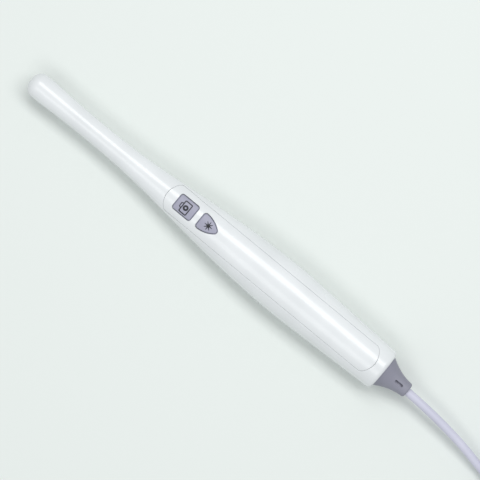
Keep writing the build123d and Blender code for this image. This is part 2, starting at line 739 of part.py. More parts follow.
# Holder: a square block that guides the barrel and makes room for the sensor
with BuildPart() as lens_holder:
    with BuildSketch(Plane.XY.offset(HOLDER_Z)):
        with Locations((along(LENS_AT), 0)):
            RectangleRounded(HOLDER_WIDTH, HOLDER_WIDTH, 0.4)
            Circle(BARREL_RADIUS + BARREL_CLEARANCE, mode=Mode.SUBTRACT)
    extrude(amount=HOLDER_HEIGHT)
    with BuildSketch(Plane.XY.offset(SENSOR_BOARD_Z)):
        with Locations((along(LENS_AT), 0)):
            Rectangle(SENSOR_WIDTH + 2 * SENSOR_ROOM, SENSOR_WIDTH + 2 * SENSOR_ROOM)
    extrude(amount=-(SENSOR_HEIGHT + SENSOR_ROOM), mode=Mode.SUBTRACT)
export("lens_holder", lens_holder)

with BuildPart() as image_sensor:
    with BuildSketch(Plane.XY.offset(SENSOR_BOARD_Z)):
        with Locations((along(LENS_AT), 0)):
            Rectangle(SENSOR_WIDTH, SENSOR_WIDTH)
    extrude(amount=-SENSOR_HEIGHT)
export("image_sensor", image_sensor)

with BuildPart() as sensor_board:
    with BuildSketch(Plane.XY.offset(SENSOR_BOARD_Z)):
        with Locations((along(LENS_AT), 0)):
            RectangleRounded(SENSOR_BOARD_WIDTH, SENSOR_BOARD_WIDTH, 0.5)
    extrude(amount=SENSOR_BOARD_THICKNESS)
export("sensor_board", sensor_board)

# Strain relief: a soft flare on the shell's rear face, with a neck through the wall and a flange inside
base_half = half_width(SHELL_LENGTH - TAIL_RADIUS) - TAIL_RADIUS - RELIEF_RIM
with BuildPart() as strain_relief:
    for step in range(7):
        share = step / 6
        flare = (1 - share) ** 2
        wide = RELIEF_NOSE_RADIUS + (base_half - RELIEF_NOSE_RADIUS) * flare
        high = RELIEF_NOSE_RADIUS + (base_half * HEIGHT_SHARE - RELIEF_NOSE_RADIUS) * flare
        with BuildSketch(Plane.YZ.offset(along(SHELL_LENGTH + RELIEF_REACH * share))):
            with Locations((0, AXIS_Z)):
                Ellipse(wide + 0.001, high)
    loft()
    fillet(strain_relief.faces().sort_by(Axis.X)[-1].edges(), radius=RELIEF_NOSE_EDGE)
    with BuildSketch(Plane.YZ.offset(along(SHELL_LENGTH - WALL))):
        with Locations((0, AXIS_Z)):
            Circle(RELIEF_NECK_RADIUS)
    extrude(amount=WALL)
    with BuildSketch(Plane.YZ.offset(along(SHELL_LENGTH - WALL))):
        with Locations((0, AXIS_Z)):
            Circle(RELIEF_FLANGE_RADIUS)
    extrude(amount=-RELIEF_FLANGE_THICKNESS)
    with BuildSketch(Plane.YZ.offset(along(SHELL_LENGTH + RELIEF_REACH))):
        with Locations((0, AXIS_Z)):
            Circle(LEAD_RADIUS + RELIEF_BORE_CLEARANCE)
    extrude(amount=-(RELIEF_REACH + WALL + RELIEF_FLANGE_THICKNESS), mode=Mode.SUBTRACT)
    with BuildSketch(Plane.XY.offset(AXIS_Z)):
        with Locations((along(SHELL_LENGTH + SLOT_AT), 0)):
            SlotOverall(SLOT_LENGTH, SLOT_WIDTH)
    extrude(amount=BELLY_WIDTH / 2, both=True, mode=Mode.SUBTRACT)
export("strain_relief", strain_relief)

# Crimp ring on the lead, between the rib and the strain relief's flange
crimp_rear = SHELL_LENGTH - WALL - RELIEF_FLANGE_THICKNESS - CRIMP_GAP
with BuildPart() as crimp_ring:
    with BuildSketch(Plane.YZ.offset(along(crimp_rear))):
        with Locations((0, AXIS_Z)):
            Circle(LEAD_RADIUS + CRIMP_CLEARANCE + CRIMP_WALL)
            Circle(LEAD_RADIUS + CRIMP_CLEARANCE, mode=Mode.SUBTRACT)
    extrude(amount=-CRIMP_LENGTH)
export("crimp_ring", crimp_ring)


def tube(points, radius):
    """A round tube along straight runs joined by arcs as large as the runs allow."""
    runs = [Vector(*b) - Vector(*a) for a, b in zip(points, points[1:])]
    radii = []
    for before, after in zip(runs, runs[1:]):
        turn = math.radians(before.get_angle(after))
        radii.append(0.45 * min(before.length, after.length) / math.tan(turn / 2))
    with BuildPart() as swept:
        with BuildLine() as path:
            FilletPolyline(*points, radius=radii)
        with BuildSketch(Plane(origin=points[0], z_dir=runs[0])):
            Circle(radius)
        sweep(path=path.line)
    total = sum(edge.length for edge in path.line.edges())
    print("radii", [round(r, 1) for r in radii], "length", round(total, 1))
    print("volume", round(swept.part.volume, 1), "expected", round(math.pi * radius**2 * total, 1))
    return swept


# Four wires from the header to the end of the lead's jacket
header_rear = HEADER_AT + HEADER_LENGTH / 2
span = LEAD_START - header_rear
wires = []
for index in range(4):
    row, side = (-1, 1)[index % 2], (-1, 1)[index // 2]
    start = ((index - 1.5) * WIRE_PITCH, BOARD_TOP + HEADER_HEIGHT / 2)
    end = (side * LEAD_RADIUS * 0.4, AXIS_Z + row * LEAD_RADIUS * 0.4)
    route = (
        (along(header_rear), *start),
        (along(header_rear + span * 0.3), *start),
        (along(header_rear + span * 0.7), *end),
        (along(LEAD_START), *end),
    )
    wires.append(tube(route, WIRE_RADIUS).part)
with BuildPart() as cable_wires:
    add(wires)
export("cable_wires", cable_wires)

# Lead from inside the shell, down to the table and into the hank
lead_route = (
    (along(LEAD_START), 0, AXIS_Z),
    (along(216.0), 0, AXIS_Z),
    (along(244.5), -2.4, 7.4),
    (along(263.0), -6.4, 4.1),
    (along(HANK_FRONT), HANK_Y - HANK_OUTER_TURN, HANK_Z + LEAD_RADIUS),
)
cable_lead = tube(lead_route, LEAD_RADIUS)
export("cable_lead", cable_lead)

# Hank: the outer shape of its turns, round a long opening
hank_middle = (along((HANK_FRONT + HANK_REAR) / 2), HANK_Y)
with BuildPart() as cable_coil:
    with BuildSketch(Plane.XY.offset(HANK_Z)):
        with Locations(hank_middle):
            SlotCenterToCenter(HANK_RUN, 2 * (HANK_INSIDE + HANK_BAND))
            SlotCenterToCenter(HANK_RUN, 2 * HANK_INSIDE, mode=Mode.SUBTRACT)
    extrude(amount=HANK_HEIGHT)
    flats = cable_coil.faces().filter_by(Axis.Z)
    fillet(flats.edges(), radius=LEAD_RADIUS)
export("cable_coil", cable_coil)

# Two ties, one round each side of the hank
with BuildPart() as cable_ties:
    with BuildSketch(Plane.YZ.offset(hank_middle[0] - TIE_WIDTH / 2)):
        for side in (-1, 1):
            with Locations((HANK_Y + side * (HANK_INSIDE + HANK_BAND / 2), HANK_Z + HANK_HEIGHT / 2)):
                RectangleRounded(
                    HANK_BAND + 2 * (TIE_GAP + TIE_THICKNESS),
                    HANK_HEIGHT + 2 * (TIE_GAP + TIE_THICKNESS),
                    LEAD_RADIUS + TIE_GAP + TIE_THICKNESS,
                )
                RectangleRounded(
                    HANK_BAND + 2 * TIE_GAP,
                    HANK_HEIGHT + 2 * TIE_GAP,
                    LEAD_RADIUS + TIE_GAP,
                    mode=Mode.SUBTRACT,
                )
    extrude(amount=TIE_WIDTH)
export("cable_ties", cable_ties)

# Lead from the hank's top turn down to the plug
plug_rear = along(HANK_REAR - PLUG_SETBACK)
top_turn_z = HANK_Z + HANK_HEIGHT - LEAD_RADIUS
tail_route = (
    (along(HANK_REAR), HANK_Y + HANK_INNER_TURN, top_turn_z),
    (along(HANK_REAR - 10.0), HANK_Y + HANK_INNER_TURN, top_turn_z),
    (plug_rear + 10.0, PLUG_Y, PLUG_Z),
    (plug_rear, PLUG_Y, PLUG_Z),
)
cable_tail = tube(tail_route, LEAD_RADIUS)
export("cable_tail", cable_tail)

# Plug: its moulded body with a tapered neck, on the table inside the hank
body_rear = plug_rear - PLUG_NECK_LENGTH
body_front = body_rear - PLUG_BODY_LENGTH
with BuildPart() as plug_body:
    with BuildSketch(Plane.YZ.offset(body_rear)):
        with Locations((PLUG_Y, PLUG_Z)):
            RectangleRounded(PLUG_BODY_WIDTH, PLUG_BODY_HEIGHT, PLUG_BODY_EDGE)
    extrude(amount=-PLUG_BODY_LENGTH)
    fillet(plug_body.faces().sort_by(Axis.X)[0].edges(), radius=0.6)
    with BuildSketch(Plane.YZ.offset(body_rear)):
        with Locations((PLUG_Y, PLUG_Z)):
            Ellipse(PLUG_BODY_WIDTH / 2 - 2.0, PLUG_BODY_HEIGHT / 2 - 0.6)
    with BuildSketch(Plane.YZ.offset(plug_rear)):
        with Locations((PLUG_Y, PLUG_Z)):
            Ellipse(PLUG_NECK_RADIUS + 0.001, PLUG_NECK_RADIUS)
    loft()
    with BuildSketch(Plane.YZ.offset(body_front)):
        with Locations((PLUG_Y, PLUG_Z)):
            Rectangle(PLUG_SHELL_WIDTH + 2 * PLUG_FIT, PLUG_SHELL_HEIGHT + 2 * PLUG_FIT)
    extrude(amount=PLUG_SHELL_SEAT, mode=Mode.SUBTRACT)
export("plug_body", plug_body)

# Metal shell of the plug, a folded rectangular tube with two windows on each flat
shell_front = body_front - PLUG_SHELL_REACH
with BuildPart() as plug_shell:
    with BuildSketch(Plane.YZ.offset(shell_front)):
        with Locations((PLUG_Y, PLUG_Z)):
            RectangleRounded(PLUG_SHELL_WIDTH, PLUG_SHELL_HEIGHT, 0.5)
            Rectangle(
                PLUG_SHELL_WIDTH - 2 * PLUG_SHELL_WALL,
                PLUG_SHELL_HEIGHT - 2 * PLUG_SHELL_WALL,
                mode=Mode.SUBTRACT,
            )
    extrude(amount=PLUG_SHELL_REACH + PLUG_SHELL_SEAT)
    with BuildSketch(Plane.XY.offset(PLUG_Z)):
        with Locations((shell_front + PLUG_WINDOW_AT, PLUG_Y)):
            with GridLocations(0, PLUG_WINDOW_SPREAD, 1, 2):
                Rectangle(PLUG_WINDOW_LENGTH, PLUG_WINDOW_WIDTH)
    extrude(amount=PLUG_SHELL_HEIGHT, both=True, mode=Mode.SUBTRACT)
export("plug_shell", plug_shell)

# Insulator inside the shell: a block at the rear and a tongue along the lower side
inner_width = PLUG_SHELL_WIDTH - 2 * PLUG_SHELL_WALL - 2 * PLUG_FIT
inner_height = PLUG_SHELL_HEIGHT - 2 * PLUG_SHELL_WALL - 2 * PLUG_FIT
tongue_low = PLUG_Z - inner_height / 2
with BuildPart() as plug_insert:
    with BuildSketch(Plane.YZ.offset(body_front + PLUG_SHELL_SEAT)):
        with Locations((PLUG_Y, PLUG_Z)):
            Rectangle(inner_width, inner_height)
    extrude(amount=-(PLUG_SHELL_SEAT + 1.5))
    with BuildSketch(Plane.YZ.offset(body_front)):
        with Locations((PLUG_Y, tongue_low)):
            Rectangle(inner_width, TONGUE_THICKNESS, align=(Align.CENTER, Align.MIN))
    extrude(amount=-(PLUG_SHELL_REACH - TONGUE_SETBACK))
export("plug_insert", plug_insert)

# Four flat contacts on the tongue
with BuildPart() as plug_contacts:
    with BuildSketch(Plane.XY.offset(tongue_low + TONGUE_THICKNESS)):
        with Locations((shell_front + TONGUE_SETBACK + 0.8 + CONTACT_LENGTH / 2, PLUG_Y)):
            with GridLocations(0, CONTACT_PITCH, 1, 4):
                Rectangle(CONTACT_LENGTH, CONTACT_WIDTH)
    extrude(amount=CONTACT_THICKNESS)
export("plug_contacts", plug_contacts)
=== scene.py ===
import logging
import math
from dataclasses import dataclass
from enum import Enum

import bpy
import numpy as np
from mathutils import Matrix, Vector


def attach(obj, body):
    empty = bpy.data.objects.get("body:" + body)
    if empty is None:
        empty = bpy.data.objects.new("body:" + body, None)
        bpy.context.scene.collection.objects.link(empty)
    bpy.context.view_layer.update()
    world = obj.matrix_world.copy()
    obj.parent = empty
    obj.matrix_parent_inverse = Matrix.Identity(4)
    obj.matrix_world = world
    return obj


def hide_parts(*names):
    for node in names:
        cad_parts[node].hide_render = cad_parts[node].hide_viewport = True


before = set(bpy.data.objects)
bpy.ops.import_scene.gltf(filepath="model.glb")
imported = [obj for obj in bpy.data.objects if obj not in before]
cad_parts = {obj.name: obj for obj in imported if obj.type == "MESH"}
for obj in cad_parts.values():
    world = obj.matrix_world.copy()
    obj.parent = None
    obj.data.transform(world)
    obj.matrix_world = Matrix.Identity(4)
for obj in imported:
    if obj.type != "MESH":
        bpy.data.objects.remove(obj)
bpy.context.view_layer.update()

MM = 0.001
LOG = logging.getLogger("intraoral_camera")

# Sizes that part.py also has, in millimetres. Distances along the wand start at its tip.
SHELL_LENGTH = 200.0
HEAD_WIDTH = 11.5
WAIST_WIDTH = 10.14
BELLY_WIDTH = 23.7
TAIL_WIDTH = 19.9
HEIGHT_SHARE = 0.86
NOSE_RADIUS = 4.5
TAIL_RADIUS = 2.0
RELIEF_REACH = 13.7
TIP_X = -(SHELL_LENGTH + RELIEF_REACH) / 2
AXIS_Z = BELLY_WIDTH * HEIGHT_SHARE / 2 - 0.3
FLARE = (BELLY_WIDTH - WAIST_WIDTH) / 2
BACK_TAPER = (BELLY_WIDTH - TAIL_WIDTH) / 2
OUTLINE = np.array((
    (0.0225, HEAD_WIDTH / 2),
    (0.040, HEAD_WIDTH / 2 + 0.02),
    (0.090, HEAD_WIDTH / 2 - 0.40),
    (0.158, WAIST_WIDTH / 2),
    (0.263, WAIST_WIDTH / 2 + 0.040 * FLARE),
    (0.315, WAIST_WIDTH / 2 + 0.118 * FLARE),
    (0.420, WAIST_WIDTH / 2 + 0.412 * FLARE),
    (0.525, WAIST_WIDTH / 2 + 0.722 * FLARE),
    (0.630, WAIST_WIDTH / 2 + 0.930 * FLARE),
    (0.720, BELLY_WIDTH / 2),
    (0.814, BELLY_WIDTH / 2 - 0.29 * BACK_TAPER),
    (0.990, TAIL_WIDTH / 2),
))
HEAD_FLAT = 4.0
HEAD_FLAT_END = 15.0
HEAD_RAMP_LENGTH = 9.0
HEAD_RAMP_DROP = 1.0
WINDOW_Z = AXIS_Z - HEAD_FLAT
WINDOW_THICKNESS = 0.7
WINDOW_GAP = 0.05
WINDOW_LEDGE = 0.5
LEDGE_THICKNESS = 0.5
RELIEF_OPENING = 4.6
PANEL_FRONT = 77.5
PANEL_REAR = 194.5
PANEL_HALF = 6.8
PANEL_END_RADIUS = 8.9
PANEL_CORNER = 2.9
PANEL_GAP = 0.12
CAPTURE_AT = 87.75
CAPTURE_LENGTH = 10.3
CAPTURE_WIDTH = 8.4
CAPTURE_CORNER = 1.3
LIGHT_FRONT = 95.6
LIGHT_HALF = 4.15
LIGHT_LENGTH = 10.53
LIGHT_CORNER = 1.5
LIGHT_TIP = 1.57
WINDOW_AT = 9.2
WINDOW_LENGTH = 10.0
WINDOW_WIDTH = 5.9
WINDOW_CORNER = 2.6
KEY_GAP = 0.4
KEY_PROUD = 0.3
KEY_FLANGE = 0.5
PANEL_THICKNESS = 1.0
LEAD_RADIUS = 1.9
HANK_FRONT = 281.0
HANK_REAR = HANK_FRONT + 70.0
HANK_INNER_TURN = 11.4
HANK_OUTER_TURN = HANK_INNER_TURN + 2 * LEAD_RADIUS
HANK_Y = 5.7
HANK_Z = 0.45
PLUG_Y = HANK_Y + 1.2
PLUG_Z = 4.0
PLUG_REAR = HANK_REAR - 38.4

# How the scene's own skins are laid out, in millimetres: where the panel's surface is divided round
# its keys, the middles that its rings of points are drawn round, and the spacing of its rows
BETWEEN_KEYS = 94.25
BEHIND_KEYS = 108.0
LIGHT_RING_AT = 100.6
LIGHT_CAP_AT = 100.0
ROW_STEP = 0.7
END_REACH = 4.0
END_ROUND = 9.0
END_ROWS = 36


class Side(Enum):
    """Which half of the housing a surface belongs to: its side of the parting line."""

    UPPER = 1
    LOWER = -1


def srgb(code: str) -> tuple[float, float, float, float]:
    """Turns a hex colour into the linear values that shaders take.

    Each channel c of the code is linearised: c / 12.92 for small c, and otherwise
    ((c + 0.055) / 1.055) ** 2.4.

    Args:
        code: six hex digits, such as "f2f4f3".

    Returns:
        Linear red, green, blue and an alpha of 1.
    """
    channels = [int(code[i : i + 2], 16) / 255 for i in (0, 2, 4)]
    linear = [c / 12.92 if c <= 0.04045 else ((c + 0.055) / 1.055) ** 2.4 for c in channels]
    return (*linear, 1.0)


def add_node(tree: bpy.types.NodeTree, kind: str, **values) -> bpy.types.Node:
    """Adds a shader node and sets its properties and input sockets by name.

    Args:
        tree: the node tree of a material or a world.
        kind: the node's type name.
        values: a property of the node, or an input socket with its spaces written as underscores.

    Returns:
        The new node.
    """
    node = tree.nodes.new(kind)
    for name, value in values.items():
        if hasattr(node, name):
            setattr(node, name, value)
        else:
            node.inputs[name.replace("_", " ")].default_value = value
    return node


@dataclass(frozen=True)
class Finish:
    """The look of one material: two close colours that drift over it, its gloss and its grain."""

    name: str
    colour: str
    second: str
    roughness: float
    roughness_spread: float = 0.04
    drift_scale: float = 60.0
    grain_scale: float = 4000.0
    grain_height: float = 0.0
    metallic: float = 0.0
    coat: float = 0.0
    transmission: float = 0.0
    subsurface: float = 0.0

    def make(self) -> bpy.types.Material:
        """Builds the material, with noise in Object coordinates for colour, roughness and grain.

        Returns:
            The finished material.
        """
        made = bpy.data.materials.new(self.name)
        made.use_nodes = True
        tree = made.node_tree
        shader = tree.nodes["Principled BSDF"]
        shader.inputs["Metallic"].default_value = self.metallic
        shader.inputs["Coat Weight"].default_value = self.coat
        shader.inputs["Coat Roughness"].default_value = 0.12
        shader.inputs["Transmission Weight"].default_value = self.transmission
        shader.inputs["Subsurface Weight"].default_value = self.subsurface
        shader.inputs["Subsurface Radius"].default_value = (0.002, 0.002, 0.002)
        place = add_node(tree, "ShaderNodeTexCoord")
        drift = add_node(tree, "ShaderNodeTexNoise", Scale=self.drift_scale, Detail=3.0)
        ramp = add_node(tree, "ShaderNodeValToRGB")
        ramp.color_ramp.elements[0].color = srgb(self.second)
        ramp.color_ramp.elements[0].position = 0.35
        ramp.color_ramp.elements[1].color = srgb(self.colour)
        ramp.color_ramp.elements[1].position = 0.65
        gloss = add_node(tree, "ShaderNodeMapRange")
        gloss.inputs["To Min"].default_value = self.roughness - self.roughness_spread
        gloss.inputs["To Max"].default_value = self.roughness + self.roughness_spread
        tree.links.new(place.outputs["Object"], drift.inputs["Vector"])
        tree.links.new(drift.outputs["Fac"], ramp.inputs["Fac"])
        tree.links.new(ramp.outputs["Color"], shader.inputs["Base Color"])
        tree.links.new(drift.outputs["Fac"], gloss.inputs["Value"])
        tree.links.new(gloss.outputs["Result"], shader.inputs["Roughness"])
        if self.grain_height:
            grain = add_node(tree, "ShaderNodeTexNoise", Scale=self.grain_scale, Detail=2.0)
            bump = add_node(tree, "ShaderNodeBump", Strength=0.5, Distance=self.grain_height)
            tree.links.new(place.outputs["Object"], grain.inputs["Vector"])
            tree.links.new(grain.outputs["Fac"], bump.inputs["Height"])
            tree.links.new(bump.outputs["Normal"], shader.inputs["Normal"])
        return made


FINISHES = {
    # Polished moulded ABS: a clear, soft highlight
    "white_plastic": Finish(
        "white_plastic", "e6e9ea", "e1e4e5", 0.26, coat=0.25, grain_height=0.00001,
    ),
    # Satin moulded plastic: a broad, dull highlight
    "key_plastic": Finish("key_plastic", "a3a3b4", "9c9cad", 0.42, grain_height=0.00002),
    # Moulded soft PVC: nearly matt
    "relief_rubber": Finish("relief_rubber", "8f8f9c", "878794", 0.55, grain_height=0.00003),
    # Extruded supple PVC: satin
    "cable_jacket": Finish("cable_jacket", "cfcfde", "c8c8d8", 0.45, grain_height=0.00002),
    # Solder mask on glass laminate: smooth and green
    "board": Finish("board", "1f6b45", "1b5f3d", 0.35, drift_scale=400.0),
    # Moulded black nylon: satin
    "black_plastic": Finish("black_plastic", "202226", "1a1c20", 0.45, grain_height=0.00002),
    # Natural nylon of sockets: dull
    "pale_plastic": Finish("pale_plastic", "dcd6c4", "d4cebc", 0.5),
    # Polyimide film: amber and smooth
    "flex_film": Finish("flex_film", "b06a1e", "a8641a", 0.3),
    # Phosphor under clear resin: pale yellow
    "led_resin": Finish("led_resin", "f3e6a0", "ecdc90", 0.3),
    # Polished optical glass: clear
    "lens_glass": Finish("lens_glass", "e8f2fa", "e2eef8", 0.05, 0.01, transmission=1.0),
    # Hard-coated clear acrylic: slightly grey
    "window_glass": Finish("window_glass", "c8ced6", "c2c8d2", 0.05, 0.01, transmission=0.9),
    # Plain drawn steel: a soft metal sheen
    "steel": Finish("steel", "c2c4c8", "b4b6ba", 0.32, metallic=1.0),
    # Nickel-plated steel: a brighter sheen
    "plated_steel": Finish("plated_steel", "d6d6da", "c8c8cc", 0.22, metallic=1.0),
    # Gold-plated bronze: yellow and bright
    "contact_gold": Finish("contact_gold", "d9b054", "cfa448", 0.25, metallic=1.0),
    # Pad-printed ink: nearly black and dull
    "print_ink": Finish("print_ink", "15181f", "1b1e26", 0.5),
}


class Palette:
    """Makes each material once and hands it out by name."""

    def __init__(self) -> None:
        self.made: dict[str, bpy.types.Material] = {}

    def get(self, name: str) -> bpy.types.Material:
        """Finds or makes a material.

        Args:
            name: a key of FINISHES.

        Returns:
            The material.
        """
        if name not in self.made:
            self.made[name] = FINISHES[name].make()
        return self.made[name]


PALETTE = Palette()


def half_width(distance: np.ndarray) -> np.ndarray:
    """Half the wand's width along its body: cubic pieces through the outline's places.

    With t from 0 to 1 between two places, the width is (1 - r) a + r b, r = 3 t^2 - 2 t^3, plus the
    slopes at both places times (t^3 - 2 t^2 + t) and (t^3 - t^2).

    Args:
        distance: distances from the tip, from the end of the nose's arc to the start of the tail's.

    Returns:
        The half-widths, in millimetres.
    """
    share, place, wide = distance / SHELL_LENGTH, OUTLINE[:, 0], OUTLINE[:, 1]
    span, rate = np.diff(place), np.diff(wide) / np.diff(place)
    inner = (rate[:-1] * span[1:] + rate[1:] * span[:-1]) / (span[1:] + span[:-1])
    slope = np.concatenate(([0.0], inner, [rate[-1]]))
    index = np.clip(np.searchsorted(place, share, side="right") - 1, 0, len(place) - 2)
    t = (share - place[index]) / span[index]
    rise = 3 * t**2 - 2 * t**3
    return (
        (1 - rise) * wide[index]
        + rise * wide[index + 1]
        + (t**3 - 2 * t**2 + t) * span[index] * slope[index]
        + (t**3 - t**2) * span[index] * slope[index + 1]
    )


def outer_half(distance: np.ndarray) -> np.ndarray:
    """Half the wand's width anywhere along it, with the nose's and the tail's arcs.

    On an arc of radius r that starts at distance 0, the half-width is the arc's base plus
    sqrt(r^2 - (r - distance)^2).

    Args:
        distance: distances from the tip.

    Returns:
        The half-widths, in millimetres.
    """
    distance = np.asarray(distance, float)
    tail_start = SHELL_LENGTH - TAIL_RADIUS
    body = half_width(np.clip(distance, NOSE_RADIUS, tail_start))
    blunt = half_width(np.array([NOSE_RADIUS]))[0] - NOSE_RADIUS
    short = np.clip(NOSE_RADIUS - distance, 0, NOSE_RADIUS)
    nose = blunt + np.sqrt(NOSE_RADIUS**2 - short**2)
    past = np.clip(distance - tail_start, 0, TAIL_RADIUS)
    tail = body - TAIL_RADIUS + np.sqrt(TAIL_RADIUS**2 - past**2)
    return np.where(distance < NOSE_RADIUS, nose, np.where(distance > tail_start, tail, body))


@dataclass(frozen=True)
class Spot:
    """Points of a surface with their outward normals, both as arrays that end in x, y, z."""

    points: np.ndarray
    normals: np.ndarray


def unit(vectors: np.ndarray) -> np.ndarray:
    """Scales vectors to length 1.

    Args:
        vectors: an array that ends in x, y, z.

    Returns:
        The unit vectors, in an array of the same shape.
    """
    return vectors / np.maximum(np.linalg.norm(vectors, axis=-1, keepdims=True), 1e-12)


def wand_surface(distance: np.ndarray, turn: np.ndarray, lift: float = 0.0) -> Spot:
    """Points on the wand's body, whose sections are ellipses.

    With half-width h: y = h cos(turn), z = axis + 0.86 h sin(turn). The normal is
    (-0.86 h', 0.86 cos(turn), sin(turn)), scaled to length 1.

    Args:
        distance: distances from the tip, in millimetres.
        turn: angles round the section, 0 at +Y and a quarter turn at the top.
        lift: how far the half-width grows.

    Returns:
        The points and normals, in millimetres.
    """
    distance, turn = np.broadcast_arrays(distance, turn)
    half = outer_half(distance) + lift
    slope = (outer_half(distance + 0.02) - outer_half(distance - 0.02)) / 0.04
    points = np.stack(
        (TIP_X + distance, half * np.cos(turn), AXIS_Z + HEIGHT_SHARE * half * np.sin(turn)), -1
    )
    normals = np.stack((-HEIGHT_SHARE * slope, HEIGHT_SHARE * np.cos(turn), np.sin(turn)), -1)
    return Spot(points, unit(normals))


def turn_at(distance: np.ndarray, across: np.ndarray, lift: float = 0.0) -> np.ndarray:
    """The angle round the section where the upper surface is at this y.

    Args:
        distance: distances from the tip.
        across: y of the points.
        lift: how far the half-width has grown.

    Returns:
        The angles, arccos(y / half-width).
    """
    return np.arccos(np.clip(across / (outer_half(distance) + lift), -1, 1))


class Patchwork:
    """Collects grids of points and normals, and makes one mesh object of them."""

    def __init__(self, name: str) -> None:
        self.name = name
        self.points: list[np.ndarray] = []
        self.normals: list[np.ndarray] = []
        self.faces: list[np.ndarray] = []
        self.count = 0

    def add(self, spot: Spot, closed: bool = False) -> None:
        """Adds a grid, and turns its faces so that they agree with its normals.

        Args:
            spot: the grid, as arrays of rows, columns and x, y, z.
            closed: whether the last column joins the first.
        """
        rows, columns = spot.points.shape[:2]
        index = np.arange(rows * columns).reshape(rows, columns)
        if closed:
            index = np.concatenate((index, index[:, :1]), axis=1)
        quads = np.stack((index[:-1, :-1], index[1:, :-1], index[1:, 1:], index[:-1, 1:]), -1)
        quads = quads.reshape(-1, 4)
        flat, normals = spot.points.reshape(-1, 3), spot.normals.reshape(-1, 3)
        corner = flat[quads]
        facing = np.cross(corner[:, 2] - corner[:, 0], corner[:, 3] - corner[:, 1])
        if np.sum(facing * normals[quads].mean(1)) < 0:
            quads = quads[:, ::-1]
        self.points.append(flat)
        self.normals.append(normals)
        self.faces.append(quads + self.count)
        self.count += len(flat)

    def build(self, finish: str, body: str) -> bpy.types.Object:
        """Makes the object, in metres, with its normals, material, slot and body.

        Args:
            finish: a key of FINISHES, whose material goes into the object's material slot.
            body: the CAD body that the object rides on.

        Returns:
            The new object.
        """
        mesh = bpy.data.meshes.new(self.name)
        points = np.concatenate(self.points) * MM
        mesh.from_pydata(points.tolist(), [], np.concatenate(self.faces).tolist())
        mesh.update()
        mesh.shade_smooth()
        mesh.normals_split_custom_set_from_vertices(np.concatenate(self.normals).tolist())
        mesh.materials.append(PALETTE.get(finish))
        made = bpy.data.objects.new(self.name, mesh)
        bpy.context.scene.collection.objects.link(made)
        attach(made, body)
        LOG.info("%s: %d points, %d faces", self.name, self.count, sum(map(len, self.faces)))
        return made


@dataclass(frozen=True)
class Plan:
    """A closed outline seen from above: points in order, as distance from the tip and y."""

    points: np.ndarray

    def normals(self) -> np.ndarray:
        """The outline's outward directions, from the points before and after each.

        Returns:
            Unit vectors, one for each point.
        """
        along = np.roll(self.points, -1, 0) - np.roll(self.points, 1, 0)
        out = np.stack((along[:, 1], -along[:, 0]), -1)
        return out / np.linalg.norm(out, axis=1, keepdims=True)

    def grown(self, amount: float) -> "Plan":
        """The outline moved outward.

        Args:
            amount: how far, in millimetres; negative moves it inward.

        Returns:
            The new outline.
        """
        return Plan(self.points + amount * self.normals())

    def reach(self, distance: np.ndarray) -> np.ndarray:
        """Half the outline's width at these distances, and 0 beyond its ends.

        Args:
            distance: distances from the tip.

        Returns:
            The half-widths.
        """
        half = self.points[self.points[:, 1] >= 0]
        half = half[np.argsort(half[:, 0])]
        return np.interp(distance, half[:, 0], half[:, 1], left=0.0, right=0.0)

    def radii(self, centre: float, angles: np.ndarray) -> np.ndarray:
        """How far the outline is from a centre on the middle line, in these directions.

        Args:
            centre: the centre's distance from the tip.
            angles: the directions, in radians.

        Returns:
            The radii.
        """
        away = self.points - np.array((centre, 0.0))
        angle = np.arctan2(away[:, 1], away[:, 0])
        order = np.argsort(angle)
        return np.interp(angles, angle[order], np.hypot(*away[order].T), period=2 * math.pi)


def arc(
    centre: tuple[float, float], radius: float, start: float, end: float, count: int,
) -> np.ndarray:
    """Points along an arc in plan.

    Args:
        centre: its centre, as distance from the tip and y.
        radius: its radius.
        start: its first angle, in degrees.
        end: its last angle, in degrees.
        count: how many points.

    Returns:
        The points.
    """
    angle = np.radians(np.linspace(start, end, count))
    return np.stack((centre[0] + radius * np.cos(angle), centre[1] + radius * np.sin(angle)), -1)


def straight(start: tuple[float, float], end: tuple[float, float], step: float) -> np.ndarray:
    """Evenly spaced points strictly between two points in plan.

    Args:
        start: the first point.
        end: the last point.
        step: the largest spacing.

    Returns:
        The points between them.
    """
    start, end = np.array(start), np.array(end)
    count = max(int(np.ceil(np.linalg.norm(end - start) / step)), 1)
    share = np.arange(1, count)[:, None] / count
    return start + share * (end - start)


def mirrored(half: np.ndarray) -> Plan:
    """Closes a half outline, given for y >= 0 from its rear to its front, with its mirror image.

    Args:
        half: points from the rear end on the middle line to the front end on the middle line.

    Returns:
        The closed outline, in the order that goes from +X to +Y.
    """
    other = half[-2:0:-1] * np.array((1.0, -1.0))
    return Plan(np.concatenate((half, other)))


def panel_plan() -> Plan:
    """The long panel's outline: straight sides, shallow round ends and small arcs between them.

    The small arc's centre is at y = w - r, and sqrt((R - r)^2 - (w - r)^2) from the end arc's
    centre.

    Returns:
        The outline.
    """
    front, rear, half = PANEL_FRONT, PANEL_REAR, PANEL_HALF
    end, corner = PANEL_END_RADIUS, PANEL_CORNER
    back = math.sqrt((end - corner) ** 2 - (half - corner) ** 2)
    split = math.degrees(math.atan2(half - corner, back))
    rear_x, front_x = rear - end + back, front + end - back
    points = (
        arc((rear - end, 0), end, 0, split, 30),
        arc((rear_x, half - corner), corner, split, 90, 16)[1:],
        straight((rear_x, half), (front_x, half), 1.0),
        arc((front_x, half - corner), corner, 90, 180 - split, 16),
        arc((front + end, 0), end, 180 - split, 180, 30)[1:],
    )
    return mirrored(np.concatenate(points))


